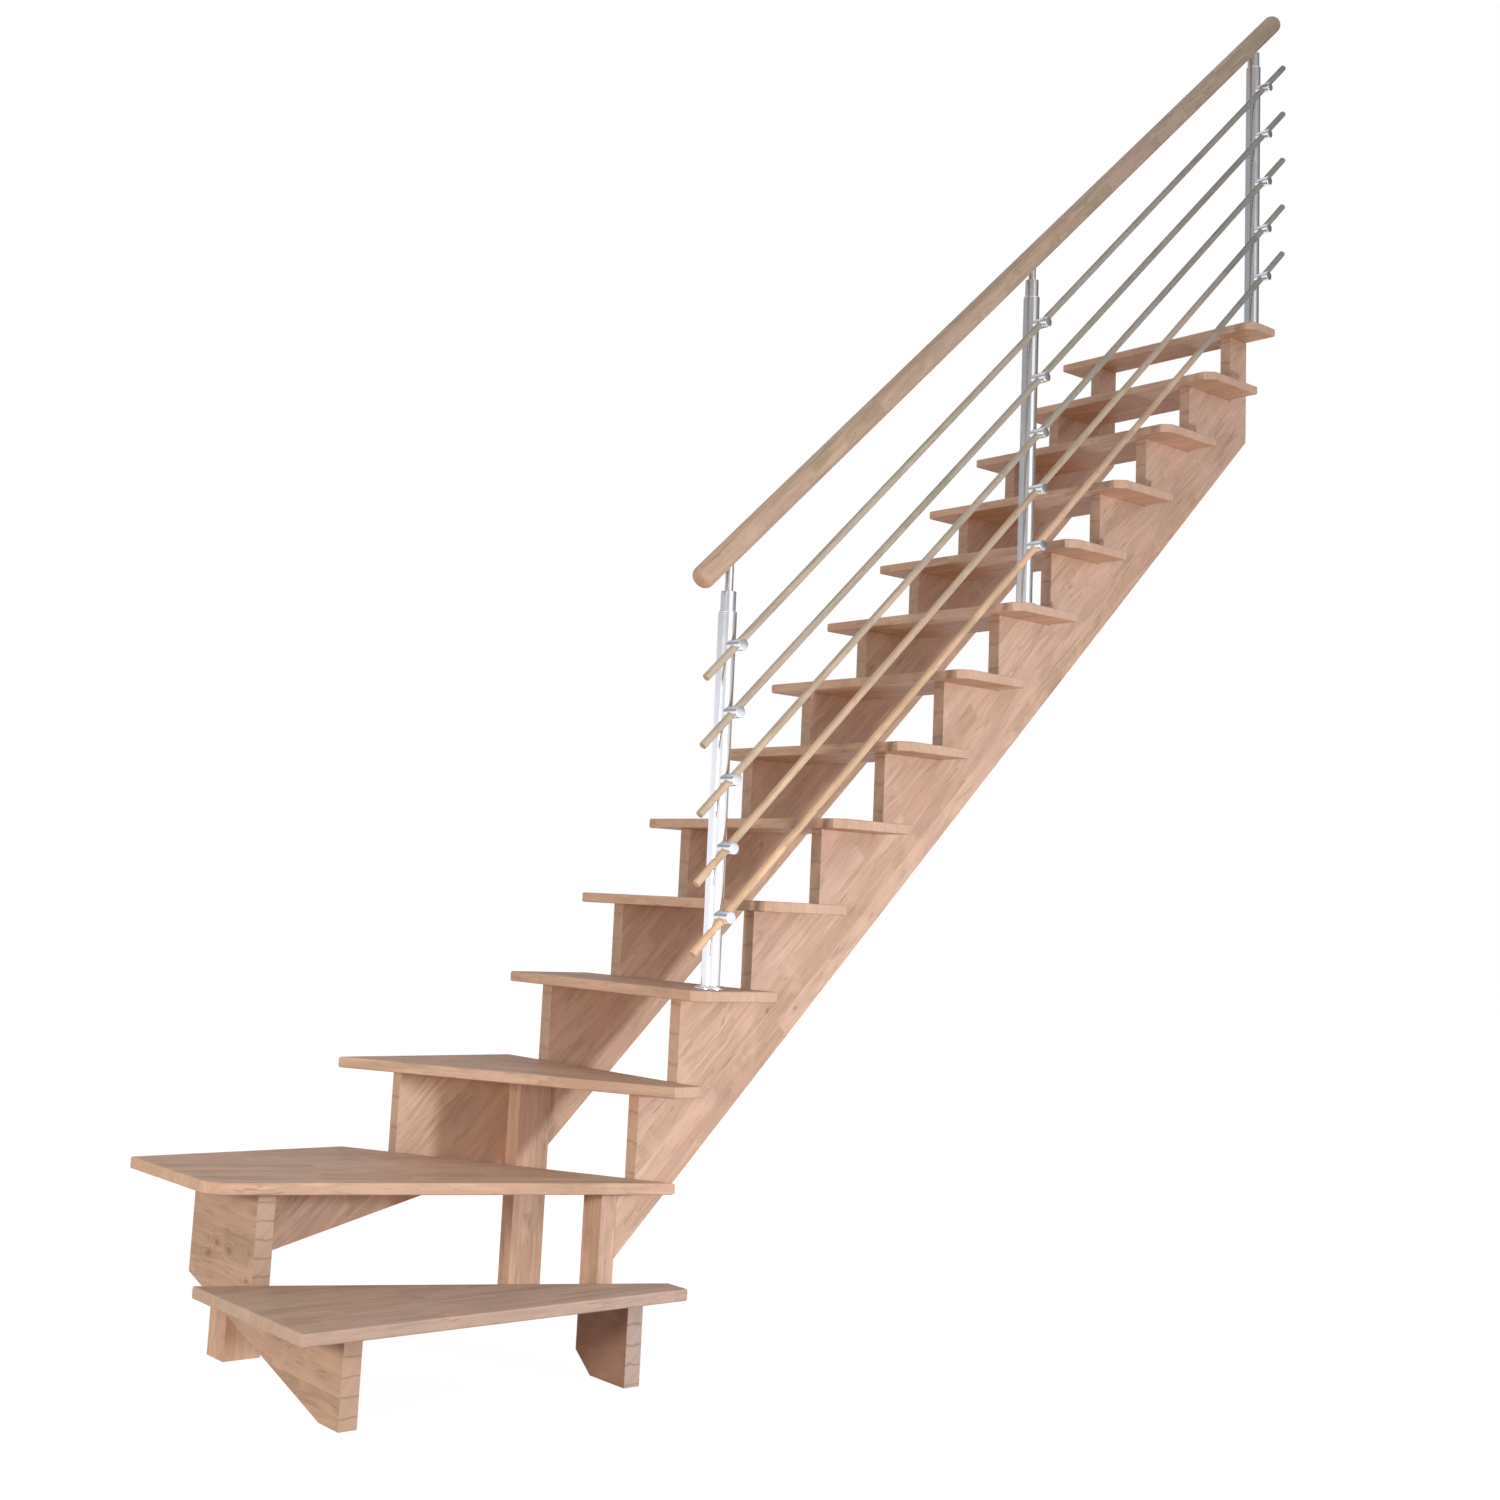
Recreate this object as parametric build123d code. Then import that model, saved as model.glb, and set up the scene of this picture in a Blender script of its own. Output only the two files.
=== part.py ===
from build123d import *
import math
import os

# Space-saving wooden staircase in millimetres, +Z up.
# Three winder treads lead in from the side and eleven straight treads climb along +Y
# on two saw-tooth stringers. A balustrade of five round rods and a handrail follows
# the right-hand side, carried by three steel posts.
# The pieces are worked out with X = 0 at the right ends of the straight treads, Y = 0
# at the front edge of the first straight tread and Z = 0 on the lower floor. The last
# section moves them all so that the origin lies on the right stringer's top end face,
# which is fastened to the edge of the upper floor.

# Steps
rise = 200.0
going = 205.0
straight_count = 11
winder_count = 3

# Straight treads
tread_width = 710.0
tread_thickness = 24.0
nosing = 37.0
tread_back_gap = 8.0
tread_corner = 25.0
tread_bevel = 2.0
top_tread_depth = 120.0

# Stringers of the straight flight
stringer_thickness = 36.0
stringer_throat = 140.0
right_inset = 99.0
left_inset = 86.0

# Winder treads, seen from above
turn_reach = 938.0
first_front = 75.0
first_outer_back = 372.0
first_narrow_end = 52.0
first_narrow_back = 11.0
second_outer_front = 336.0
second_wall_back = 435.0
second_tip = (2.0, -38.0)
third_wall_front = 460.0
third_right = 15.0
third_right_front = 63.0
third_back = 10.0

# Boards and posts under the winder treads
front_board_thickness = 40.0
front_board_inset = 127.0
front_board_left = 53.0
front_board_overhang = 72.0
front_board_foot = 73.0
front_board_end = 210.0
entry_board_thickness = 40.0
entry_board_overhang = 66.0
entry_board_foot = 54.0
entry_board_toe = 42.0
corner_post_width = 75.0
corner_post_depth = 86.0
corner_stringer_end = 201.0
newel_width = 45.0
newel_depth = 91.0
newel_front = -43.0
pivot_post_width = 63.0
pivot_post_back = -114.0
third_seat_right = 104.0
third_seat_left = 382.0

# Balustrade posts
post_inset = 60.0
post_setback = 86.0
post_diameter = 42.4
post_wall = 2.0
post_height = 842.0
flange_diameter = 68.0
flange_thickness = 9.0
flange_bevel = 3.0
head_diameter = 35.0
head_height = 50.0
head_collar = 3.0
head_spigot = 45.0
pin_diameter = 19.0
pin_into_rail = 18.0
part_clearance = 0.2

# Handrail, which touches the head of the top post and runs clear above that of the low post
rail_diameter = 55.0
rail_low_gap = 57.0
rail_top_gap = 0.0
rail_low_overhang = 89.0
rail_top_overhang = 110.0
rail_end_round = 18.0

# Rods and their holders
rod_count = 5
rod_diameter = 18.0
rod_low_overhang = 86.0
rod_top_overhang = 107.0
rod_lowest = 160.0
rod_to_post_top = 76.0
rod_reach = 36.0
holder_diameter = 28.0
holder_reach = 60.0

# Levels and lines that follow from the sizes above
pitch = math.atan2(rise, going)
throat_height = stringer_throat / math.cos(pitch)
right_outer = -right_inset
right_inner = right_outer - stringer_thickness
left_outer = left_inset - tread_width
left_inner = left_outer + stringer_thickness
tread_depth = going + nosing - tread_back_gap
flight_end = (straight_count - 1) * going + top_tread_depth
turn_end = -turn_reach
first_seat = rise - tread_thickness
second_seat = 2 * rise - tread_thickness
third_seat = 3 * rise - tread_thickness
newel_back = newel_front + newel_depth
post_x = -post_inset
rod_x = post_x + rod_reach
post_steps = {"low": 0, "middle": straight_count // 2, "top": straight_count - 1}


def tread_top(step):
    """Height of the walking surface of straight step 0, 1, 2 and so on."""
    return (winder_count + 1 + step) * rise


def lower_edge(y):
    """Height of the straight stringers' lower edge, parallel to the pitch line."""
    inner_corner = third_seat - throat_height
    return inner_corner + (y - nosing) * rise / going


def side_board(profile, x_from, x_to):
    """Board whose side view is a list of (y, z) points."""
    outline = make_face(Polyline(*profile, close=True))
    return extrude(Plane.YZ.offset(x_from) * outline, x_to - x_from)


def cross_board(profile, y_from, y_to):
    """Board whose front view is a list of (x, z) points."""
    outline = make_face(Polyline(*profile, close=True))
    return extrude(Plane.XZ.offset(-y_to) * outline, y_to - y_from)


def block(x_from, x_to, y_from, y_to, z_from, z_to):
    """Squared post between two opposite corners."""
    size = Box(x_to - x_from, y_to - y_from, z_to - z_from, align=Align.MIN)
    return Pos(x_from, y_from, z_from) * size


def tread(outline, top, cut_corners=()):
    """Tread of a plan outline, with cut corners and bevelled top and bottom edges."""
    board = make_face(Polyline(*outline, close=True))
    for x, y in cut_corners:
        corner = board.vertices().sort_by_distance((x, y, 0))[0]
        board = chamfer(corner, tread_corner)
    board = extrude(Pos(0, 0, top - tread_thickness) * board, tread_thickness)
    rims = board.faces().sort_by(Axis.Z)
    edges = rims[0].edges() + rims[-1].edges()
    return chamfer(edges, tread_bevel)


# Straight treads: a plain board with its front right corner cut off
def straight_tread(step):
    depth = top_tread_depth if step == straight_count - 1 else tread_depth
    front = step * going
    outline = [(-tread_width, front), (0, front), (0, front + depth), (-tread_width, front + depth)]
    return tread(outline, tread_top(step), cut_corners=[(0, front)])


# Winder treads: long wedges that meet at the inside of the turn
def first_winder():
    outline = [(-first_outer_back, turn_end), (first_front, turn_end),
               (first_front, -first_narrow_end), (first_narrow_back, -first_narrow_end)]
    return tread(outline, rise)


def second_winder():
    near = (-second_outer_front, turn_end)
    outline = [(-tread_width, turn_end), near, second_tip, (-tread_width, -second_wall_back)]
    return tread(outline, 2 * rise, cut_corners=[near])


def third_winder():
    outline = [(-tread_width, -third_wall_front), (third_right, -third_right_front),
               (third_right, third_back), (-tread_width, third_back)]
    return tread(outline, 3 * rise)


# Saw-tooth edge that the straight treads lie on, from the first riser line to the top
def saw_teeth():
    points = []
    for step in range(straight_count):
        riser = step * going + nosing
        seat = tread_top(step) - tread_thickness
        points.append((riser, seat - rise))
        points.append((riser, seat))
    points.append((flight_end, tread_top(straight_count - 1) - tread_thickness))
    return points


def right_stringer():
    turn = nosing - third_seat_right
    profile = [(pivot_post_back, lower_edge(pivot_post_back)), (pivot_post_back, second_seat),
               (turn, second_seat), (turn, third_seat)]
    profile += saw_teeth()
    profile.append((flight_end, lower_edge(flight_end)))
    return side_board(profile, right_inner, right_outer)


def left_stringer():
    profile = [(newel_back, lower_edge(newel_back)), (newel_back, third_seat)]
    profile += saw_teeth()
    profile.append((flight_end, lower_edge(flight_end)))
    return side_board(profile, left_outer, left_inner)


# Boards under the winder treads. The corner stringer lies on the outer face of the
# newel post and butts against the back of the front board, flush with its end.
front_board_front = turn_end + front_board_inset
front_board_back = front_board_front + front_board_thickness
boards_left = front_board_left - tread_width


def corner_stringer():
    turn = nosing - third_seat_left
    profile = [(front_board_back, second_seat - front_board_end),
               (front_board_back, second_seat), (turn, second_seat), (turn, third_seat),
               (newel_back, third_seat), (newel_back, third_seat - corner_stringer_end)]
    return side_board(profile, boards_left, left_outer)


def front_board():
    right = first_front - front_board_overhang
    profile = [(boards_left, second_seat - front_board_end), (boards_left, second_seat),
               (-first_outer_back, second_seat), (-first_outer_back, first_seat),
               (right, first_seat), (right, 0), (right - front_board_foot, 0)]
    return cross_board(profile, front_board_front, front_board_back)


pivot_left = right_outer - pivot_post_width


def entry_board():
    right = first_front - entry_board_overhang
    profile = [(pivot_left, entry_board_toe), (pivot_left, first_seat), (right, first_seat),
               (right, 0), (pivot_left + entry_board_foot, 0)]
    return cross_board(profile, pivot_post_back - entry_board_thickness, pivot_post_back)


# Posts under the winder treads
def corner_post():
    return block(left_outer, left_outer + corner_post_width,
                 front_board_back, front_board_back + corner_post_depth, 0, second_seat)


def newel_post():
    return block(left_outer, left_outer + newel_width, newel_front, newel_back, 0, third_seat)


def pivot_post():
    return block(pivot_left, right_outer,
                 pivot_post_back - entry_board_thickness, pivot_post_back, first_seat, second_seat)


def post_base(step):
    """Point on the tread at the foot of a balustrade post."""
    return (post_x, step * going + post_setback, tread_top(step))


# The rods keep the pitch of the flight, the handrail is a little less steep
low_y = post_base(post_steps["low"])[1]
top_y = post_base(post_steps["top"])[1]
climb = (post_steps["top"] - post_steps["low"]) * rise
rod_pitch = Vector(0, going, rise).normalized()
rod_spacing = (post_height - rod_to_post_top - rod_lowest) / (rod_count - 1)
rail_slope = (climb + rail_top_gap - rail_low_gap) / (top_y - low_y)
rail_pitch = Vector(0, 1, rail_slope).normalized()
rail_start = low_y - rail_low_overhang
rail_end = top_y + rail_top_overhang


def rail_underside(y):
    """Height of the handrail's underside above the lower floor."""
    low_shoulder = tread_top(post_steps["low"]) + post_height + head_height
    return low_shoulder + rail_low_gap + (y - low_y) * rail_slope


def rod_height(number):
    """Height of rod 1, 2 and so on above the tread at a post."""
    return rod_lowest + (number - 1) * rod_spacing


def rod_point(step, number):
    """Point where a rod's axis passes a post's holder."""
    x, y, z = post_base(step)
    return (rod_x, y, z + rod_height(number))


# Balustrade posts: a loose rosette, a tube and a stepped head with a pin
post_radius = post_diameter / 2
post_bore = post_diameter - 2 * post_wall


def post_flange(step):
    disc = Cylinder(flange_diameter / 2, flange_thickness, align=(Align.CENTER, Align.CENTER, Align.MIN))
    disc = chamfer(disc.edges().group_by(Axis.Z)[-1], flange_bevel)
    disc -= Cylinder(post_radius + part_clearance, 3 * flange_thickness)
    return Pos(*post_base(step)) * disc


def post_tube(step):
    tube = Cylinder(post_radius, post_height, align=(Align.CENTER, Align.CENTER, Align.MIN))
    tube -= Cylinder(post_bore / 2, 3 * post_height)
    return Pos(*post_base(step)) * tube


def rail_bore_top(step):
    """Height of the flat end of the blind bore that takes a post's pin."""
    x, y, z = post_base(step)
    return rail_underside(y) + pin_into_rail


def rail_frame():
    """Plane at the handrail's low end, looking up along its axis."""
    axis_height = rail_underside(rail_start) + rail_diameter / 2 / rail_pitch.Y
    return Plane(origin=(post_x, rail_start, axis_height), x_dir=(1, 0, 0), z_dir=rail_pitch)


def post_head(step):
    x, y, z = post_base(step)
    spigot = post_bore / 2 - part_clearance
    collar_top = post_height + head_collar
    shoulder = post_height + head_height
    profile = Polyline((0, post_height - head_spigot), (spigot, post_height - head_spigot),
                       (spigot, post_height), (post_radius, post_height),
                       (post_radius, collar_top), (head_diameter / 2, collar_top),
                       (head_diameter / 2, shoulder), (0, shoulder), close=True)
    head = Pos(x, y, z) * revolve(Plane.XZ * make_face(profile), Axis.Z)
    head -= rail_frame() * Cylinder(rail_diameter / 2 + part_clearance, 3 * (rail_end - rail_start))
    pin_height = rail_bore_top(step) - z - post_height
    pin = Cylinder(pin_diameter / 2, pin_height, align=(Align.CENTER, Align.CENTER, Align.MIN))
    return head + Pos(x, y, z + post_height) * pin


# Handrail: one round bar with softly domed ends, bored from below for the pins
def handrail():
    length = (rail_end - rail_start) / rail_pitch.Y
    bar = Cylinder(rail_diameter / 2, length, align=(Align.CENTER, Align.CENTER, Align.MIN))
    bar = fillet(bar.edges().filter_by(GeomType.CIRCLE), rail_end_round)
    bar = rail_frame() * bar
    for step in post_steps.values():
        x, y, z = post_base(step)
        bore = Cylinder(pin_diameter / 2 + part_clearance, rail_diameter + pin_into_rail,
                        align=(Align.CENTER, Align.CENTER, Align.MAX))
        bar -= Pos(x, y, rail_bore_top(step)) * bore
    return bar


# Rods run straight through the holders of all three posts
def rod(number):
    start = Vector(*rod_point(post_steps["low"], number)) - rod_pitch * (rod_low_overhang / rod_pitch.Y)
    length = (top_y + rod_top_overhang - low_y + rod_low_overhang) / rod_pitch.Y
    bar = Cylinder(rod_diameter / 2, length, align=(Align.CENTER, Align.CENTER, Align.MIN))
    return Plane(origin=start, x_dir=(1, 0, 0), z_dir=rod_pitch) * bar


# Rod holders: short barrels saddled onto the tube and bored along the pitch
def rod_holder(step, number):
    x, y, z = rod_point(step, number)
    barrel = Cylinder(holder_diameter / 2, holder_reach, align=(Align.CENTER, Align.CENTER, Align.MIN))
    barrel = Plane(origin=(post_x, y, z), x_dir=(0, 1, 0), z_dir=(1, 0, 0)) * barrel
    barrel -= Pos(post_x, y, z) * Cylinder(post_radius + part_clearance, 2 * holder_diameter)
    passage = Cylinder(rod_diameter / 2 + part_clearance, 3 * holder_diameter)
    barrel -= Plane(origin=(x, y, z), x_dir=(1, 0, 0), z_dir=rod_pitch) * passage
    return barrel.solids().sort_by(Axis.X)[-1]


def on_all_posts(make, *which):
    """Like pieces of the three posts, as separate solids."""
    return Compound([make(step, *which).solid() for step in post_steps.values()])


# Every piece under its own name
pieces = {"tread_01": first_winder(), "tread_02": second_winder(), "tread_03": third_winder()}
for step in range(straight_count):
    pieces[f"tread_{winder_count + 1 + step:02d}"] = straight_tread(step)

pieces["right_stringer"] = right_stringer()
pieces["left_stringer"] = left_stringer()
pieces["corner_stringer"] = corner_stringer()
pieces["front_board"] = front_board()
pieces["entry_board"] = entry_board()
pieces["corner_post"] = corner_post()
pieces["newel_post"] = newel_post()
pieces["pivot_post"] = pivot_post()

for name, step in post_steps.items():
    pieces[f"{name}_post_tube"] = post_tube(step)

pieces["post_flanges"] = on_all_posts(post_flange)
pieces["post_heads"] = on_all_posts(post_head)
pieces["handrail"] = handrail()
for number in range(1, rod_count + 1):
    pieces[f"rod_{number}"] = rod(number)
    pieces[f"rod_{number}_holders"] = on_all_posts(rod_holder, number)

# The origin goes to the middle of the right stringer's top end face
end_top = tread_top(straight_count - 1) - tread_thickness
end_middle = (end_top + lower_edge(flight_end)) / 2
to_origin = Pos(-(right_inner + right_outer) / 2, -flight_end, -end_middle)

os.makedirs("parts", exist_ok=True)
for name, piece in pieces.items():
    export_step(to_origin * piece, f"parts/{name}.step")
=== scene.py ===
import math
import random
from collections import namedtuple

import bmesh
import bpy
from mathutils import Matrix, Vector


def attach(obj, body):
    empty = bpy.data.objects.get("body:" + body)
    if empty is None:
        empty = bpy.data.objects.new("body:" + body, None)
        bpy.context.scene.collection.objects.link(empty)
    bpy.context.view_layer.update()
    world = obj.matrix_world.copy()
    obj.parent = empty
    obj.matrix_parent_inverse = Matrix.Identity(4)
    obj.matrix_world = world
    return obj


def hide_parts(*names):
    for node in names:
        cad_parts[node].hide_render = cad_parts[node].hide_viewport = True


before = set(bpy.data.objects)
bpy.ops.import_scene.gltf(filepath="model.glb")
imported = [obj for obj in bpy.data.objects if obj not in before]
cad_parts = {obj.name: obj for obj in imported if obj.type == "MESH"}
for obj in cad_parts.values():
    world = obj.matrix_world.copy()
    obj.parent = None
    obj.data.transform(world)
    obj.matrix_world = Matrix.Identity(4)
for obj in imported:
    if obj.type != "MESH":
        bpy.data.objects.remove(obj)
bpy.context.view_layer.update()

# Sizes in metres, the same as in the solids
rise = 0.200
going = 0.205
straight_count = 11
winder_count = 3
post_inset = 0.060
post_setback = 0.086
post_radius = 0.0212
post_height = 0.842
tube_wall = 0.002
flange_radius = 0.034
flange_thickness = 0.009
flange_rim_share = 0.55
flange_top_share = 0.93
head_radius = 0.0175
head_height = 0.050
head_collar = 0.003
pin_radius = 0.0095
pin_into_rail = 0.012
rail_radius = 0.0275
rail_low_gap = 0.057
rail_top_gap = 0.0
rail_low_overhang = 0.089
rail_top_overhang = 0.110
rail_end_round = 0.018
rod_count = 5
rod_radius = 0.009
rod_low_overhang = 0.086
rod_top_overhang = 0.107
rod_lowest = 0.160
rod_to_post_top = 0.076
rod_reach = 0.036
holder_radius = 0.014
holder_start = 0.004
holder_reach = 0.060
seat_clearance = 0.0002

# Half lengths of the bodies that cut the tube's and the rod's space out of the holders
tube_cut_half = 0.03
rod_cut_half = 0.04

# Edges of boards: how far they are rounded over, and in how many faces
tread_ease = 0.0011
frame_ease = 0.0014
ease_steps = 3

# Edges of round pieces: how far they are rounded over, and in how many faces
tube_edge = (0.0004, 3)
flange_edge = (0.0016, 5)
head_edge = (0.0008, 3)
rod_edge = (0.0022, 4)
holder_edge = (0.0016, 4)
rail_end_steps = 12

# Sides of round pieces, and the greatest length of one ring of faces
post_sides = 64
rail_sides = 96
rod_sides = 40
holder_sides = 56
bore_sides = 48
ring_length = 0.04

# Angles that tell flat from bent in the solids, and sharp from round in the holders
flat_angle = math.radians(1)
edge_angle = math.radians(20)
sharp_angle = math.radians(35)
weld_distance = 1e-5

# The wood texture of each piece starts at a place of its own, up to this far along
seed_span = 10
rail_seed = 1.7
flange_seed = 0.3
head_seed = 0.6

# Directions, and the frame's origin, seen from the inner front corner of the lower floor
side_line = Vector((1, 0, 0))
climb_line = Vector((0, 1, 0))
up_line = Vector((0, 0, 1))
pitch_line = Vector((0, going, rise)).normalized()
pitch_square = Vector((0, -rise, going)).normalized()
origin = Vector((-0.117, 2.170, 2.618693))
floor_height = -origin.z
post_steps = (0, straight_count // 2, straight_count - 1)


def post_base(step):
    """Foot of a balustrade post on its tread."""
    top = (winder_count + 1 + step) * rise
    return Vector((-post_inset, step * going + post_setback, top)) - origin


low_foot = post_base(post_steps[0])
top_foot = post_base(post_steps[2])
shoulder = post_height + head_height
rail_climb = top_foot.z - low_foot.z + rail_top_gap - rail_low_gap
rail_line = Vector((0, top_foot.y - low_foot.y, rail_climb)).normalized()


def rail_underside(y):
    """Height of the handrail's underside."""
    slope = rail_line.z / rail_line.y
    return low_foot.z + shoulder + rail_low_gap + (y - low_foot.y) * slope


# Building blocks for the meshes
def settle(mesh_data, name, material, seed, nodes):
    """Puts a finished mesh into the scene in place of its solids."""
    for face in mesh_data.polygons:
        face.use_smooth = True
    piece = bpy.data.objects.new(name, mesh_data)
    bpy.context.scene.collection.objects.link(piece)
    mesh_data.materials.append(material)
    piece["seed"] = seed
    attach(piece, "root")
    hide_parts(*nodes)
    return piece


def even_shading(piece):
    """Keeps large flat faces flat beside their rounded edges."""
    weights = piece.modifiers.new("even shading", "WEIGHTED_NORMAL")
    weights.keep_sharp = True
    weights.weight = 100


def finish_mesh(work, name):
    """Turns a bmesh into a mesh."""
    mesh_data = bpy.data.meshes.new(name)
    work.to_mesh(mesh_data)
    work.free()
    return mesh_data


def eased_board(node, material, seed, ease):
    """The board's solid with its long and short edges rounded over."""
    work = bmesh.new()
    work.from_mesh(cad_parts[node].data)
    bmesh.ops.remove_doubles(work, verts=work.verts, dist=weld_distance)
    bmesh.ops.dissolve_limit(work, angle_limit=flat_angle, verts=work.verts, edges=work.edges)
    edges = [e for e in work.edges if e.is_convex and e.calc_face_angle(0) > edge_angle]
    bmesh.ops.bevel(work, geom=edges, offset=ease, segments=ease_steps, profile=0.5,
                    affect="EDGES", clamp_overlap=True)
    name = node + "_wood"
    even_shading(settle(finish_mesh(work, name), name, material, seed, [node]))


def turned(work, profile, matrix, sides):
    """Adds a turned body to a bmesh: a closed outline of (radius, height) pairs, in short rings."""
    outline = [profile[0]]
    for before, here in zip(profile, profile[1:]):
        count = max(1, math.ceil(abs(here[1] - before[1]) / ring_length))
        outline += [tuple(Vector(before).lerp(Vector(here), k / count)) for k in range(1, count)]
        outline.append(here)
    rings = []
    for radius, height in outline:
        if radius == 0:
            rings.append([work.verts.new(matrix @ Vector((0, 0, height)))])
            continue
        ring = []
        for i in range(sides):
            angle = math.tau * i / sides
            point = Vector((radius * math.cos(angle), radius * math.sin(angle), height))
            ring.append(work.verts.new(matrix @ point))
        rings.append(ring)
    for lower, upper in zip(rings, rings[1:]):
        for i in range(sides):
            j = (i + 1) % sides
            corners = [lower[i % len(lower)], lower[j % len(lower)],
                       upper[j % len(upper)], upper[i % len(upper)]]
            work.faces.new(list(dict.fromkeys(corners)))


def turned_mesh(name, bodies, sides):
    """Mesh of turned bodies, each given by its outline and the matrix that places it."""
    work = bmesh.new()
    for outline, matrix in bodies:
        turned(work, outline, matrix, sides)
    return finish_mesh(work, name)


def turned_piece(name, bodies, sides, material, seed, nodes):
    """One piece of turned bodies, in place of its solids."""
    even_shading(settle(turned_mesh(name, bodies, sides), name, material, seed, nodes))


def bar(radius, start, end):
    """Outline of a round bar with flat ends."""
    return [(0, start), (radius, start), (radius, end), (0, end)]


def domed_bar(radius, length, dome, steps):
    """Outline of a round bar whose ends are rounded over by an arc."""
    arc = [(radius - dome * (1 - math.sin(angle)), dome * (1 - math.cos(angle)))
           for angle in (math.pi / 2 * k / steps for k in range(steps + 1))]
    far_arc = [(reach, length - height) for reach, height in reversed(arc)]
    return [(0, 0)] + arc + far_arc + [(0, length)]


def rounded(profile, radius, steps):
    """Rounds every inner corner of a (radius, height) outline."""
    result = [profile[0]]
    for before, here, after in zip(profile, profile[1:], profile[2:]):
        a, b, c = Vector(before), Vector(here), Vector(after)
        reach = min(radius, (a - b).length / 2, (c - b).length / 2)
        start = b + (a - b).normalized() * reach
        end = b + (c - b).normalized() * reach
        for k in range(steps + 1):
            t = k / steps
            point = start.lerp(b, t).lerp(b.lerp(end, t), t)
            result.append((point.x, point.y))
    result.append(profile[-1])
    return result


def upright(place):
    """Matrix that stands a body on a place."""
    return Matrix.Translation(place)


def lying(place, line):
    """Matrix that turns +Z into a line through a place."""
    return Matrix.Translation(place) @ line.to_track_quat("Z", "Y").to_matrix().to_4x4()


def cut(piece, mesh_data, name):
    """Takes a closed mesh away from a piece."""
    tool = bpy.data.objects.new(name, mesh_data)
    bpy.context.scene.collection.objects.link(tool)
    boolean = piece.modifiers.new(name, "BOOLEAN")
    boolean.operation = "DIFFERENCE"
    boolean.solver = "EXACT"
    boolean.object = tool
    bpy.context.view_layer.update()
    shape = piece.evaluated_get(bpy.context.evaluated_depsgraph_get())
    piece.data = bpy.data.meshes.new_from_object(shape)
    piece.modifiers.clear()
    bpy.data.objects.remove(tool)


# Shader helpers
def new_material(name):
    """A material with an empty node tree, and that tree."""
    material = bpy.data.materials.new(name)
    material.use_nodes = True
    material.node_tree.nodes.clear()
    return material, material.node_tree


def fill(tree, made, inputs):
    """Links or sets the inputs of a node."""
    for key, value in inputs.items():
        if isinstance(value, bpy.types.NodeSocket):
            tree.links.new(value, made.inputs[key])
        else:
            made.inputs[key].default_value = value


def add(tree, kind, inputs=None, **settings):
    """Adds a node."""
    made = tree.nodes.new(kind)
    for key, value in settings.items():
        setattr(made, key, value)
    fill(tree, made, inputs or {})
    return made


def maths(tree, operation, *values):
    return add(tree, "ShaderNodeMath", dict(enumerate(values)), operation=operation).outputs[0]


def times(tree, value, factor):
    return maths(tree, "MULTIPLY", value, factor)


def plus(tree, value, other):
    return maths(tree, "ADD", value, other)


def centred(tree, value):
    """Moves a value between 0 and 1 to between -0.5 and 0.5."""
    return maths(tree, "SUBTRACT", value, 0.5)


def from_middle(tree, value):
    """How far the fraction of a value is from one half."""
    return maths(tree, "ABSOLUTE", centred(tree, maths(tree, "FRACT", value)))


def vector_maths(tree, operation, first, second):
    inputs = {0: first, 1: second}
    return add(tree, "ShaderNodeVectorMath", inputs, operation=operation).outputs[0]


def along_line(tree, place, line):
    """Distance of a place along a line from the origin."""
    made = add(tree, "ShaderNodeVectorMath", {0: place, 1: tuple(line)}, operation="DOT_PRODUCT")
    return made.outputs["Value"]


def length_of(tree, vector):
    made = add(tree, "ShaderNodeVectorMath", {0: vector}, operation="LENGTH")
    return made.outputs["Value"]


def joined(tree, x, y, z):
    return add(tree, "ShaderNodeCombineXYZ", {0: x, 1: y, 2: z}).outputs[0]


def ranged(tree, value, low, high, to_low=0.0, to_high=1.0, smooth=True):
    """Maps low to high onto to_low to to_high."""
    made = add(tree, "ShaderNodeMapRange", {"Value": value, "From Min": low, "From Max": high,
                                            "To Min": to_low, "To Max": to_high})
    made.interpolation_type = "SMOOTHSTEP" if smooth else "LINEAR"
    return made.outputs[0]


def noise(tree, place, scale, detail, roughness=0.5, distortion=0.0):
    made = add(tree, "ShaderNodeTexNoise", {"Vector": place, "Scale": scale, "Detail": detail,
                                            "Roughness": roughness, "Distortion": distortion})
    return made.outputs["Fac"]


def mixed(tree, factor, first, second, blend="MIX"):
    """Mixes two colours."""
    made = add(tree, "ShaderNodeMix", data_type="RGBA", blend_type=blend)
    fill(tree, made, {0: factor, 6: first, 7: second})
    return made.outputs[2]


def colour(red, green, blue):
    return (red, green, blue, 1.0)


def spread(factors, tone):
    """A tone with each of its channels changed by a factor, and at most white."""
    return [min(1.0, factor * channel) for factor, channel in zip(factors, tone)]


def finish_material(tree, inputs):
    """Gives a material's tree its surface."""
    surface = add(tree, "ShaderNodeBsdfPrincipled", inputs)
    add(tree, "ShaderNodeOutputMaterial", {"Surface": surface.outputs[0]})


def background_share(tree, rays):
    """1 for the rays that show the background: from the camera, off metal and through glass."""
    share = maths(tree, "MAXIMUM", rays["Is Camera Ray"], rays["Is Glossy Ray"])
    return maths(tree, "MAXIMUM", share, rays["Is Transmission Ray"])


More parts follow.
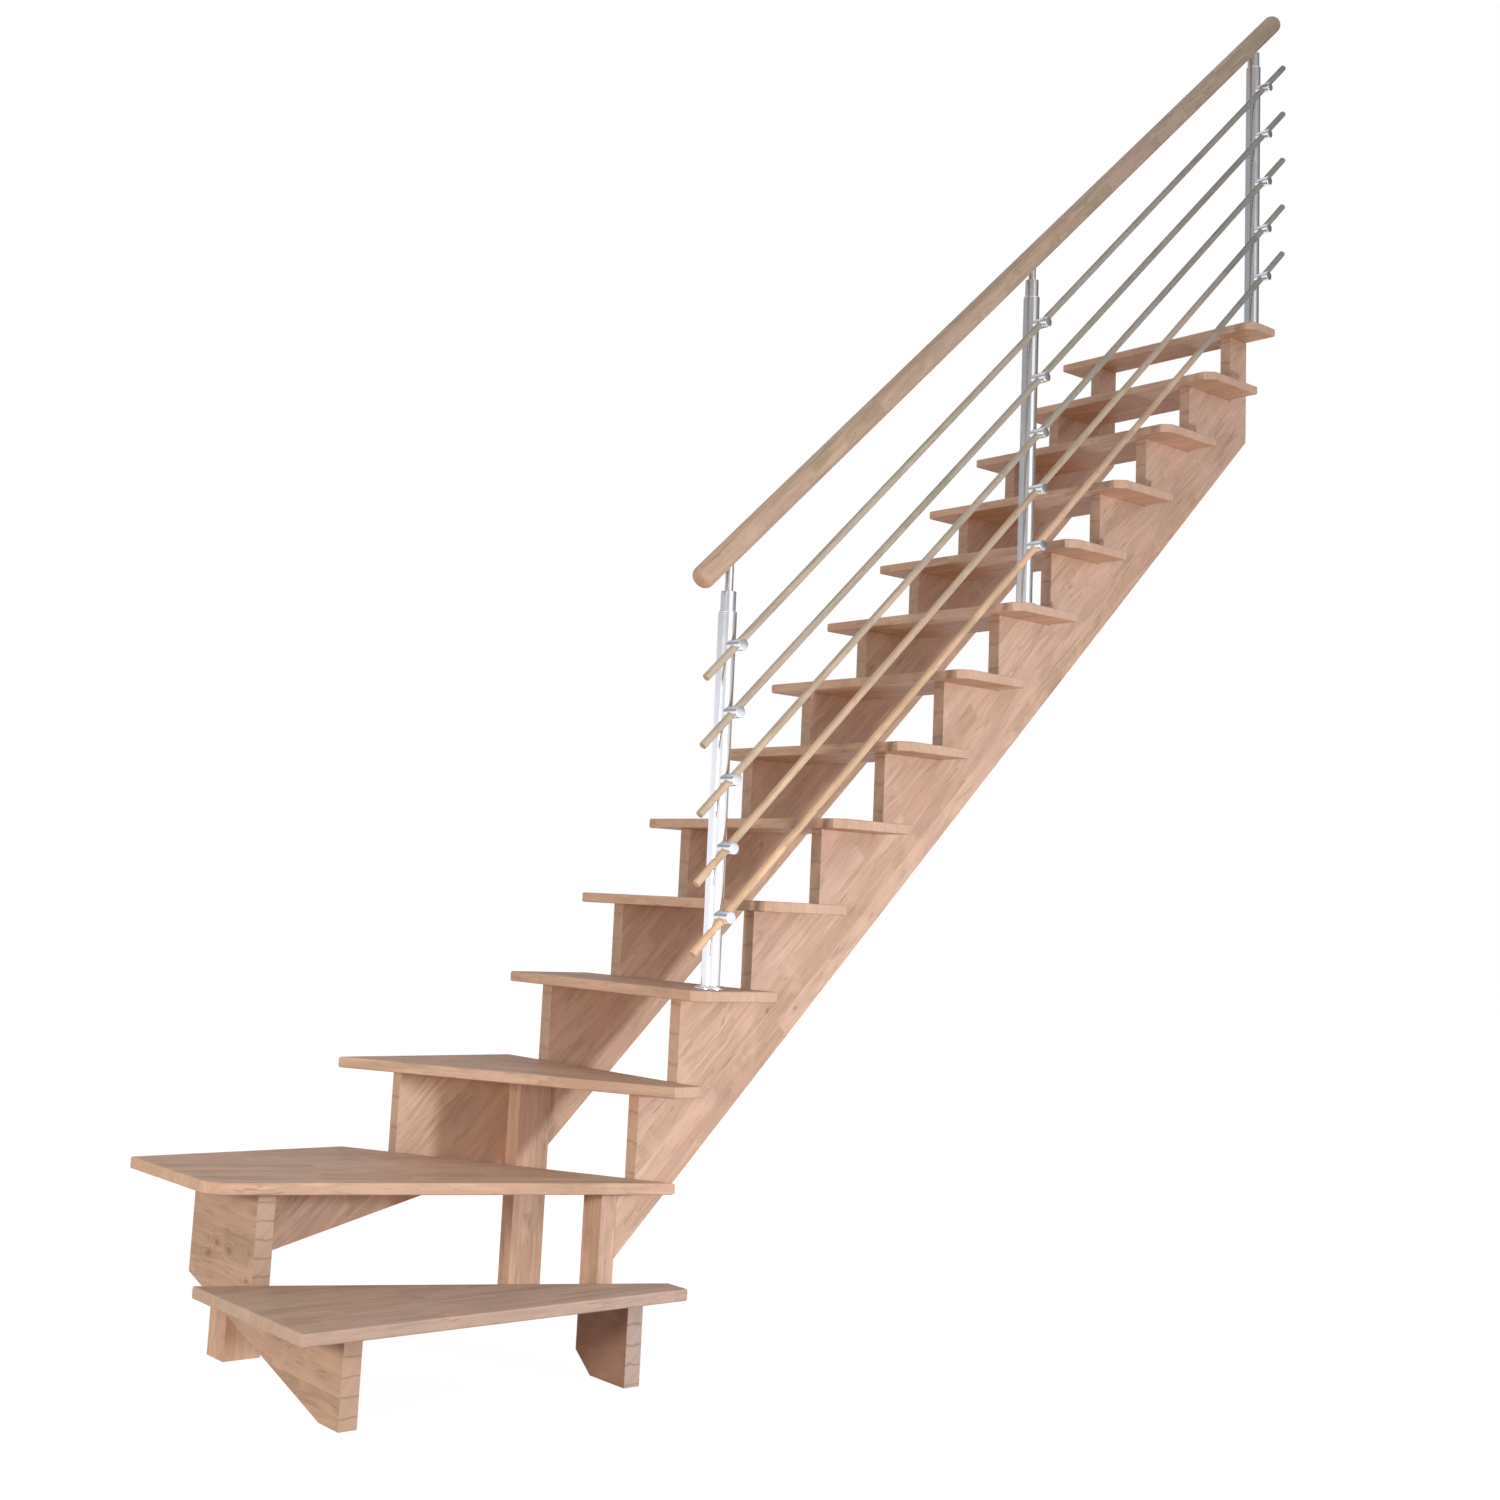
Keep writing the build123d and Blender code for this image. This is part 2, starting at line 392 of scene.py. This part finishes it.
# The figure of the wood, laid over the tone of each stave: broad shades, streaks, pale rays and short
# dark dashes. Each layer is a noise, stretched by its two scales, that shows between its two levels
Layer = namedtuple("Layer", "along across detail roughness distortion low high tone share")
figure = (
    Layer(3.2, 17.0, 3.0, 0.55, 0.9, low=0.42, high=0.72, tone="dark", share=0.40),
    Layer(5.5, 60.0, 3.0, 0.55, 1.2, low=0.50, high=0.70, tone="dark", share=0.38),
    Layer(4.0, 50.0, 2.0, 0.50, 0.9, low=0.50, high=0.68, tone="pale", share=0.48),
    Layer(13.0, 120.0, 2.0, 0.55, 1.2, low=0.62, high=0.71, tone="darker", share=0.46),
)
dark_factors = (0.62, 0.62, 0.62)
darker_factors = (0.50, 0.42, 0.38)
pale_factors = (1.16, 1.14, 1.12)
pink_tone = (0.70, 0.43, 0.36)
fibre_share = 0.14
pink_share = 0.26
patch_share = 0.30
seam_share = 0.15

# How far a piece's seed moves the texture along and across, and a stave's seed moves its grain
seed_along = 3.71
seed_across = 1.37
row_shift = 9.0
grain_shift = (9.0, 7.0, 5.0)

# Finger joints between the staves of a row: half their width, and how far they reach for it
finger_half = 0.0025
finger_slope = 4.0

# Sway of the grain in metres
sway_reach = 0.045

# Knots: their length for their width, the unevenness of their rim, and the rings round them
knot_stretch = 1.7
knot_wobble = 1.3
knot_rings = 7.0
knot_share = 0.60
knot_ring_share = 0.26

# Sawn ends: how far they hide the figure, the waves of the glue lines in metres, and the share of the
# stave's own tone on ends without and with a tone of their own
end_cover = 0.88
band_wave = 0.016
end_stave_share = 0.30
sawn_stave_share = 0.10

# Roughness of the wood, which changes with its fibres
wood_roughness = (0.45, 0.57)


def wood(name, along, across, tones, stave=0.042, length=0.55, knots=(), bands=0.12, sawn=None,
         painted_shading=None):
    """Laminated wood: finger-jointed staves with their own tone, soft figure, dashes and knots.

    The staves run along one direction and lie side by side across it, each stave wide and length
    long. A knot is its place along and across and its size. On sawn ends, bands is the strength of
    the glue lines and sawn the tone. The last argument holds tints of painted light and shade, each
    with its share of the way up the balustrade.
    """
    material, tree = new_material(name)
    along = Vector(along).normalized()
    across = Vector(across).normalized()
    place = add(tree, "ShaderNodeTexCoord").outputs["Object"]
    seed_node = add(tree, "ShaderNodeAttribute", attribute_type="OBJECT", attribute_name="seed")
    seed = seed_node.outputs["Fac"]
    u = plus(tree, along_line(tree, place, along), times(tree, seed, seed_along))
    v = plus(tree, along_line(tree, place, across), times(tree, seed, seed_across))
    w = along_line(tree, place, along.cross(across))

    # Which stave a point lies in
    row_place = maths(tree, "DIVIDE", v, stave)
    row = maths(tree, "FLOOR", row_place)
    row_seed = add(tree, "ShaderNodeTexWhiteNoise", {"W": row}, noise_dimensions="1D")
    fingers = times(tree, maths(tree, "PINGPONG", v, finger_half), finger_slope)
    cell_place = maths(tree, "DIVIDE", plus(tree, u, fingers), length)
    cell_place = plus(tree, cell_place, times(tree, row_seed.outputs["Value"], row_shift))
    stave_place = joined(tree, row, maths(tree, "FLOOR", cell_place), seed)
    stave_seed = add(tree, "ShaderNodeTexWhiteNoise", {"Vector": stave_place}, noise_dimensions="3D")
    stave_tone = stave_seed.outputs["Value"]
    shift = vector_maths(tree, "MULTIPLY", stave_seed.outputs["Color"], grain_shift)

    # The grain sways a little across each stave as it runs along
    sway_place = joined(tree, times(tree, u, 4.0), times(tree, v, 14.0), stave_tone)
    sway = centred(tree, noise(tree, sway_place, 1.0, 2.0))
    flow = plus(tree, v, times(tree, sway, sway_reach))

    def grain(along_scale, across_scale, detail, roughness, distortion=0.0):
        """Noise stretched along the stave, different in each stave."""
        point = joined(tree, times(tree, u, along_scale), times(tree, flow, across_scale),
                       times(tree, w, across_scale))
        point = vector_maths(tree, "ADD", point, shift)
        return noise(tree, point, 1.0, detail, roughness, distortion)

    def tinted(base, factor, tone, share):
        """Mixes a tone in where a factor is high, up to a share."""
        return mixed(tree, times(tree, factor, share), base, colour(*tone))

    # Tone of the stave, then the figure, the fibres, pink patches and pale patches
    ramp = add(tree, "ShaderNodeValToRGB", {"Fac": stave_tone})
    ramp.color_ramp.elements[0].color = colour(*tones[0])
    ramp.color_ramp.elements[1].color = colour(*tones[-1])
    for k, tone in enumerate(tones[1:-1], 1):
        ramp.color_ramp.elements.new(k / (len(tones) - 1)).color = colour(*tone)
    dark = spread(dark_factors, tones[0])
    darker = spread(darker_factors, tones[0])
    pale = spread(pale_factors, tones[-1])
    figure_tones = {"dark": dark, "darker": darker, "pale": pale}
    base = ramp.outputs["Color"]
    for layer in figure:
        shade = grain(layer.along, layer.across, layer.detail, layer.roughness, layer.distortion)
        shown = ranged(tree, shade, layer.low, layer.high)
        base = tinted(base, shown, figure_tones[layer.tone], layer.share)
    fibre = grain(16.0, 420.0, 2.0, 0.6)
    base = tinted(base, ranged(tree, fibre, 0.35, 0.75), dark, fibre_share)
    base = tinted(base, ranged(tree, noise(tree, place, 6.0, 2.0), 0.45, 0.66), pink_tone, pink_share)
    base = tinted(base, ranged(tree, noise(tree, place, 13.0, 3.0, 0.6), 0.52, 0.70), pale, patch_share)

    # Knots: small dark eyes with rings round them
    for knot_u, knot_v, size in knots:
        centre = along * knot_u + across * knot_v - origin
        away = vector_maths(tree, "SUBTRACT", place, tuple(centre))
        du = maths(tree, "DIVIDE", along_line(tree, away, along), size * knot_stretch)
        dv = maths(tree, "DIVIDE", along_line(tree, away, across), size)
        wobble = times(tree, centred(tree, noise(tree, place, 60.0, 2.0)), knot_wobble)
        far = plus(tree, length_of(tree, joined(tree, du, dv, 0.0)), wobble)
        base = tinted(base, ranged(tree, far, 1.0, 0.35), darker, knot_share)
        ring = ranged(tree, maths(tree, "SINE", times(tree, far, knot_rings)), 0.1, 1.0)
        ring = times(tree, ring, ranged(tree, far, 3.4, 1.2))
        base = tinted(base, ring, darker, knot_ring_share)

    # Glue lines between the staves, and the ends of staves within a row
    row_seam = ranged(tree, from_middle(tree, row_place), 0.480, 0.496)
    cell_seam = ranged(tree, from_middle(tree, cell_place), 0.4985, 0.4995)
    seam = maths(tree, "MAXIMUM", row_seam, cell_seam)
    base = tinted(base, seam, darker, seam_share)

    # Sawn ends: nearly even in tone, with growth rings and a wavy dark band at each glue line
    facing = add(tree, "ShaderNodeNewGeometry").outputs["True Normal"]
    end_share = ranged(tree, maths(tree, "ABSOLUTE", along_line(tree, facing, along)), 0.45, 0.80)
    ring_place = vector_maths(tree, "ADD", joined(tree, v, w, 0.0), shift)
    rings = add(tree, "ShaderNodeTexWave", {"Vector": ring_place, "Scale": 16.0, "Distortion": 5.0,
                                            "Detail": 2.0, "Detail Scale": 1.2},
                wave_type="BANDS", bands_direction="DIAGONAL").outputs["Fac"]
    wave = times(tree, centred(tree, noise(tree, place, 38.0, 2.0)), band_wave)
    band_place = maths(tree, "DIVIDE", plus(tree, v, wave), stave)
    band = ranged(tree, from_middle(tree, band_place), 0.41, 0.485)
    middle = sawn or [sum(tone[k] for tone in tones) / len(tones) for k in range(3)]
    end_tone = mixed(tree, sawn_stave_share if sawn else end_stave_share, colour(*middle),
                     ramp.outputs["Color"])
    end_tone = tinted(end_tone, ranged(tree, rings, 0.55, 1.0), dark, 0.12)
    end_tone = tinted(end_tone, ranged(tree, noise(tree, place, 70.0, 2.0, 0.6), 0.5, 0.75), pale, 0.35)
    end_tone = tinted(end_tone, band, darker, bands)
    base = mixed(tree, times(tree, end_share, end_cover), base, end_tone)

    # Painted light and shade: tints at given shares of the way from the low post to the top post
    if painted_shading:
        way = ranged(tree, along_line(tree, place, climb_line), low_foot.y, top_foot.y, smooth=False)
        tint = colour(*painted_shading[0][1])
        for (start, _), (end, following) in zip(painted_shading, painted_shading[1:]):
            tint = mixed(tree, ranged(tree, way, start, end, smooth=False), tint, colour(*following))
        base = mixed(tree, 1.0, base, tint, "MULTIPLY")

    relief = maths(tree, "SUBTRACT", times(tree, fibre, 0.5), times(tree, seam, 0.4))
    bump = add(tree, "ShaderNodeBump", {"Height": relief, "Strength": 0.2, "Distance": 0.0005})
    rough = ranged(tree, fibre, 0.3, 0.7, *wood_roughness)
    finish_material(tree, {"Base Color": base, "Roughness": rough, "Normal": bump.outputs[0],
                           "Specular IOR Level": 0.3})
    return material


# Steel: how fine its grinding marks and its smears are, and its two tones
hair_scale = 420.0
smear_scale = (30.0, 30.0, 30.0)
steel_tones = (colour(0.83, 0.83, 0.84), colour(0.88, 0.88, 0.88))


def steel(name, line):
    """Satin stainless steel, ground round the tube."""
    material, tree = new_material(name)
    place = add(tree, "ShaderNodeTexCoord").outputs["Object"]
    lengthwise = times(tree, along_line(tree, place, line), hair_scale)
    hair = noise(tree, joined(tree, lengthwise, 0.0, 0.0), 1.0, 3.0, 0.7)
    smear = noise(tree, vector_maths(tree, "MULTIPLY", place, smear_scale), 1.0, 3.0, 0.6)
    hair_rough = ranged(tree, hair, 0.3, 0.7, 0.16, 0.20)
    rough = plus(tree, hair_rough, ranged(tree, smear, 0.4, 0.7, 0.0, 0.05))
    tint = mixed(tree, ranged(tree, hair, 0.3, 0.7), *steel_tones)
    finish_material(tree, {"Base Color": tint, "Metallic": 1.0, "Roughness": rough})
    return material


# Tones of the staves, from the darkest to the palest
board_tones = [(0.56, 0.38, 0.265), (0.61, 0.425, 0.305), (0.66, 0.455, 0.345), (0.70, 0.51, 0.385)]
# Tones of the lowest tread: darker and greyer than the other boards, as painted shade low on the stair
lowest_tread_shade_tones = [(0.46, 0.34, 0.265), (0.50, 0.375, 0.295), (0.53, 0.405, 0.33), (0.56, 0.435, 0.355)]
front_tones = [(0.45, 0.315, 0.22), (0.49, 0.345, 0.25), (0.53, 0.375, 0.28), (0.57, 0.415, 0.315)]
# Tones of the entry board: dark, as painted shade of the tread over it
entry_shade_tones = [(0.30, 0.19, 0.125), (0.33, 0.21, 0.14), (0.36, 0.23, 0.16)]
rail_tones = [(0.49, 0.37, 0.26), (0.56, 0.42, 0.30), (0.60, 0.43, 0.335), (0.61, 0.475, 0.355)]
rod_tones = [(0.55, 0.42, 0.30), (0.61, 0.46, 0.325), (0.65, 0.50, 0.365)]
front_sawn_tone = (0.58, 0.42, 0.315)
# Tone of the left stringer's sawn ends, darker than the boards: painted shade of the treads over them
left_sawn_shade_tone = (0.43, 0.305, 0.225)
entry_sawn_tone = (0.56, 0.47, 0.42)

# The staves of the winder treads run along their front edges
front_edges = {1: climb_line, 2: Vector((0.338, 0.900, 0)), 3: Vector((0.725, 0.397, 0))}

# Knots: place from the inner front corner of the lower floor, and size. They lie at (x, z) on the front
# board and at (y, z) on the stringer, where they are turned to the pitch of the stair
front_knots = ((-0.537, 0.246, 0.011), (-0.572, 0.219, 0.010), (-0.480, 0.238, 0.012),
               (-0.391, 0.246, 0.008), (-0.395, 0.193, 0.008))
side_knots = ((0.295, 0.751, 0.006), (0.383, 0.758, 0.005), (-0.279, 0.690, 0.006))
stringer_knots = [(y * pitch_line.y + z * pitch_line.z, y * pitch_square.y + z * pitch_square.z, size)
                  for y, z, size in side_knots]


def tread_wood(number):
    """Wood of a tread, whose staves run along its front edge."""
    line = front_edges.get(number, side_line).normalized()
    tones = lowest_tread_shade_tones if number == 1 else board_tones
    return wood(f"tread {number} wood", line, (-line.y, line.x, 0), tones)


straight_wood = tread_wood(winder_count + 1)
stringer_wood = wood("stringer wood", pitch_line, pitch_square, board_tones, stave=0.046,
                     knots=stringer_knots, bands=0.45)
left_wood = wood("left stringer wood", pitch_line, pitch_square, board_tones, stave=0.046,
                 bands=0.40, sawn=left_sawn_shade_tone)
front_wood = wood("front board wood", side_line, up_line, front_tones, stave=0.036,
                  knots=front_knots, bands=0.45, sawn=front_sawn_tone)
entry_wood = wood("entry board wood", side_line, up_line, entry_shade_tones, stave=0.040, bands=0.40,
                  sawn=entry_sawn_tone)
post_wood = wood("post wood", up_line, (0.6, 0.8, 0), board_tones, stave=0.030)

# Painted shade on the handrail, darker and greyer towards the top: share of the way up the balustrade,
# and tint
rail_painted_shade = ((0.0, (1.0, 1.0, 1.0)), (0.95, (0.84, 0.91, 0.94)), (1.0, (0.76, 0.81, 0.83)))
rail_wood = wood("handrail wood", rail_line, side_line, rail_tones, stave=0.030, length=0.3,
                 painted_shading=rail_painted_shade)

# Painted light and shade on the rods: tints at the low end and higher up, of the lowest rod and of the
# upper ones, how much greyer each rod is than the one under it, and the painted grey at the top that
# all rods share
rod_low_tints = (Vector((1.34, 1.24, 1.12)), Vector((0.92, 1.08, 1.20)))
rod_upper_tints = (Vector((1.09, 1.06, 1.04)), Vector((0.60, 0.80, 0.98)))
rod_low_step = 0.34
rod_upper_step = 0.5
rod_upper_place = 0.75
rod_top_painted_shade = ((0.90, (0.55, 0.72, 0.88)), (1.0, (0.50, 0.70, 0.88)))


def rod_wood(number):
    """Wood of a rod with painted light and shade: the lower rods lighter at their low end, the upper
    rods greyer than the lower ones, and all grey at the top of the stair.
    """
    lit_rod_tint, shaded_rod_tint = rod_low_tints
    low_tint = lit_rod_tint.lerp(shaded_rod_tint, min(1.0, (number - 1) * rod_low_step))
    lit_rod_tint, shaded_rod_tint = rod_upper_tints
    upper_tint = lit_rod_tint.lerp(shaded_rod_tint, min(1.0, (number - 1) * rod_upper_step))
    painted_shading = ((0.0, low_tint), (rod_upper_place, upper_tint)) + rod_top_painted_shade
    return wood(f"rod {number} wood", pitch_line, side_line, rod_tones, stave=0.050, length=0.22,
                painted_shading=painted_shading)


post_steel = steel("post steel", up_line)
holder_steel = steel("holder steel", side_line)

# Boards
chance = random.Random(14)
for number in range(1, winder_count + straight_count + 1):
    grain_wood = tread_wood(number) if number in front_edges else straight_wood
    seed = chance.random() * seed_span
    eased_board(f"tread_{number:02d}", grain_wood, seed, tread_ease)
board_woods = {"right_stringer": stringer_wood, "left_stringer": left_wood,
               "corner_stringer": stringer_wood, "front_board": front_wood, "entry_board": entry_wood,
               "corner_post": post_wood, "newel_post": post_wood, "pivot_post": post_wood}
for node, grain_wood in board_woods.items():
    eased_board(node, grain_wood, chance.random() * seed_span, frame_ease)

# Balustrade posts: tube, rosette at the foot, stepped head with its pin
tube_inner = post_radius - tube_wall
outline = rounded([(tube_inner, 0), (post_radius, 0), (post_radius, post_height),
                   (tube_inner, post_height)], *tube_edge)
for label, step in zip(("low", "middle", "top"), post_steps):
    turned_piece(label + "_tube_steel", [(outline, upright(post_base(step)))], post_sides, post_steel,
                 chance.random(), [label + "_post_tube"])

seat_radius = post_radius + seat_clearance
outline = rounded([(seat_radius, 0), (flange_radius, 0),
                   (flange_radius, flange_thickness * flange_rim_share),
                   (flange_radius * flange_top_share, flange_thickness),
                   (seat_radius, flange_thickness), (seat_radius, 0)], *flange_edge)
turned_piece("rosettes_steel", [(outline, upright(post_base(step))) for step in post_steps], post_sides,
             post_steel, flange_seed, ["post_flanges"])

collar_top = post_height + head_collar
heads = []
for step in post_steps:
    foot = post_base(step)
    pin_top = rail_underside(foot.y) - foot.z + pin_into_rail
    outline = [(0, post_height), (post_radius, post_height), (post_radius, collar_top),
               (head_radius, collar_top), (head_radius, shoulder), (pin_radius, shoulder),
               (pin_radius, pin_top), (0, pin_top)]
    heads.append((rounded(outline, *head_edge), upright(foot)))
turned_piece("heads_steel", heads, post_sides, post_steel, head_seed, ["post_heads"])

# Handrail and rods
rail_start_y = low_foot.y - rail_low_overhang
rail_start_z = rail_underside(rail_start_y) + rail_radius / rail_line.y
rail_start = Vector((low_foot.x, rail_start_y, rail_start_z))
rail_length = (top_foot.y + rail_top_overhang - rail_start_y) / rail_line.y
outline = domed_bar(rail_radius, rail_length, rail_end_round, rail_end_steps)
turned_piece("handrail_wood", [(outline, lying(rail_start, rail_line))], rail_sides, rail_wood,
             rail_seed, ["handrail"])

rod_spacing = (post_height - rod_to_post_top - rod_lowest) / (rod_count - 1)
rod_heights = {number: rod_lowest + (number - 1) * rod_spacing for number in range(1, rod_count + 1)}
rod_length = (top_foot.y - low_foot.y + rod_low_overhang + rod_top_overhang) / pitch_line.y
outline = rounded(bar(rod_radius, 0, rod_length), *rod_edge)
for number, height in rod_heights.items():
    place = low_foot + Vector((rod_reach, 0, height)) - pitch_line * (rod_low_overhang / pitch_line.y)
    turned_piece(f"rod_{number}_wood", [(outline, lying(place, pitch_line))], rod_sides,
                 rod_wood(number), chance.random() * seed_span, [f"rod_{number}"])

# Rod holders: barrels saddled onto the tube and bored for the rod
barrel = rounded(bar(holder_radius, holder_start, holder_reach), *holder_edge)
tube_space = bar(seat_radius, -tube_cut_half, tube_cut_half)
rod_space = bar(rod_radius + seat_clearance, -rod_cut_half, rod_cut_half)
for number, height in rod_heights.items():
    name = f"rod_{number}_barrels_steel"
    places = [post_base(step) + Vector((0, 0, height)) for step in post_steps]
    bore_places = [post_base(step) + Vector((rod_reach, 0, height)) for step in post_steps]
    barrels = turned_mesh(name, [(barrel, lying(place, side_line)) for place in places], holder_sides)
    piece = settle(barrels, name, holder_steel, chance.random(),
                   [f"rod_{number}_holders"])
    tube_spaces = [(tube_space, upright(place)) for place in places]
    cut(piece, turned_mesh("tube space", tube_spaces, post_sides), "tube space")
    rod_spaces = [(rod_space, lying(place, pitch_line)) for place in bore_places]
    cut(piece, turned_mesh("rod space", rod_spaces, bore_sides), "rod space")
    for face in piece.data.polygons:
        face.use_smooth = True
    piece.data.set_sharp_from_angle(angle=sharp_angle)

# Floor: white with a faint shadow for the camera and the steel, a warm glow for the wood
floor_size = 40
floor_white = 0.95
floor_paint = colour(0.16, 0.16, 0.16)
floor_glow = colour(0.30, 0.13, 0.04)
floor_material, tree = new_material("pale floor")
rays = add(tree, "ShaderNodeLightPath").outputs
paint = add(tree, "ShaderNodeBsdfDiffuse", {"Color": floor_paint})
shine = add(tree, "ShaderNodeEmission", {"Color": colour(1, 1, 1), "Strength": floor_white})
white = add(tree, "ShaderNodeAddShader", {0: paint.outputs[0], 1: shine.outputs[0]})
glow = add(tree, "ShaderNodeEmission", {"Color": floor_glow, "Strength": 1.0})
mix = add(tree, "ShaderNodeMixShader",
          {0: background_share(tree, rays), 1: glow.outputs[0], 2: white.outputs[0]})
add(tree, "ShaderNodeOutputMaterial", {"Surface": mix.outputs[0]})
bpy.ops.mesh.primitive_plane_add(size=floor_size, location=(0, 0, floor_height))
floor = bpy.context.object
floor.name = "floor"
floor.data.materials.append(floor_material)

# Studio: soft light from round about, cooler and paler at the horizon and weaker from the left.
# The directions below run from -1 to 1
world = bpy.data.worlds.new("studio")
bpy.context.scene.world = world
world.use_nodes = True
tree = world.node_tree
tree.nodes.clear()
direction = add(tree, "ShaderNodeTexCoord").outputs["Generated"]
sideward, backward, upward = add(tree, "ShaderNodeSeparateXYZ", {0: direction}).outputs
horizon_tone = colour(0.94, 1.09, 1.29)
top_tone = colour(0.49, 0.42, 0.38)
left_level = 0.45
right_level = 1.04
side_level = ranged(tree, sideward, -0.75, 0.25, left_level, right_level)
side_tone = joined(tree, side_level, side_level, side_level)
horizon = mixed(tree, 1.0, horizon_tone, side_tone, "MULTIPLY")
soft_tone = mixed(tree, ranged(tree, upward, 0.05, 0.35), horizon, top_tone)

# The background as the steel shows it: white low down, grey panels higher up, pale overhead, a bright
# screen on the right and the dark end of the room behind
white_gain = 0.62
low_grey = 0.44
high_grey = 0.36
overhead_gain = 0.55
screen_tone = colour(1.5, 1.5, 1.5)
behind_tone = colour(0.15, 0.14, 0.14)
cool_red = 0.98
cool_blue = 1.06
white_share = ranged(tree, upward, 0.08, 0.19, white_gain, 0.0)
grey = plus(tree, white_share, ranged(tree, upward, 0.08, 0.30, low_grey, high_grey))
grey = plus(tree, grey, ranged(tree, upward, 0.50, 0.80, 0.0, overhead_gain))
screen = times(tree, ranged(tree, sideward, 0.89, 0.94), ranged(tree, upward, 0.34, 0.28))
behind = times(tree, ranged(tree, backward, 0.66, 0.80), ranged(tree, upward, 0.06, 0.18))
behind = maths(tree, "MAXIMUM", behind, ranged(tree, backward, 0.94, 0.98))
cool_grey = joined(tree, times(tree, grey, cool_red), grey, times(tree, grey, cool_blue))
panels = mixed(tree, behind, cool_grey, behind_tone)
panels = mixed(tree, screen, panels, screen_tone)
rays = add(tree, "ShaderNodeLightPath").outputs
background = mixed(tree, rays["Is Glossy Ray"], colour(1, 1, 1), panels)
sky = add(tree, "ShaderNodeBackground", {"Color": soft_tone, "Strength": 1.0})
backdrop = add(tree, "ShaderNodeBackground", {"Color": background, "Strength": 1.0})
mix = add(tree, "ShaderNodeMixShader",
          {0: background_share(tree, rays), 1: sky.outputs[0], 2: backdrop.outputs[0]})
add(tree, "ShaderNodeOutputWorld", {"Surface": mix.outputs[0]})


def lamp(name, place, power, tint, radius):
    """A soft round lamp, placed from the inner front corner of the lower floor."""
    data = bpy.data.lights.new(name, "POINT")
    data.energy = power
    data.color = tint
    data.shadow_soft_size = radius
    light = bpy.data.objects.new(name, data)
    light.location = Vector(place) - origin
    bpy.context.scene.collection.objects.link(light)


lamp("side lamp", place=(2.46, 0.8, 0.75), power=158.0, tint=(0.97, 1.0, 1.04), radius=0.10)
lamp("front lamp", place=(1.0, -3.5, 1.0), power=222.0, tint=(1.0, 0.92, 0.78), radius=0.25)

# Camera where the photograph was taken
camera_place = Vector((3.081213, -2.620277, 0.989062))
camera_turn = (97.883345, -2.919778, 50.577711)
camera_data = bpy.data.cameras.new("camera")
camera_data.sensor_width = 36.0
camera_data.lens = 44.327
camera_data.shift_x = 0.05267
camera_data.shift_y = -0.06976
camera_data.clip_start = 0.05
camera_data.clip_end = 100.0
camera = bpy.data.objects.new("camera", camera_data)
camera.location = camera_place - origin
camera.rotation_euler = [math.radians(angle) for angle in camera_turn]
bpy.context.scene.collection.objects.link(camera)
bpy.context.scene.camera = camera

bpy.context.scene.view_settings.view_transform = "Standard"
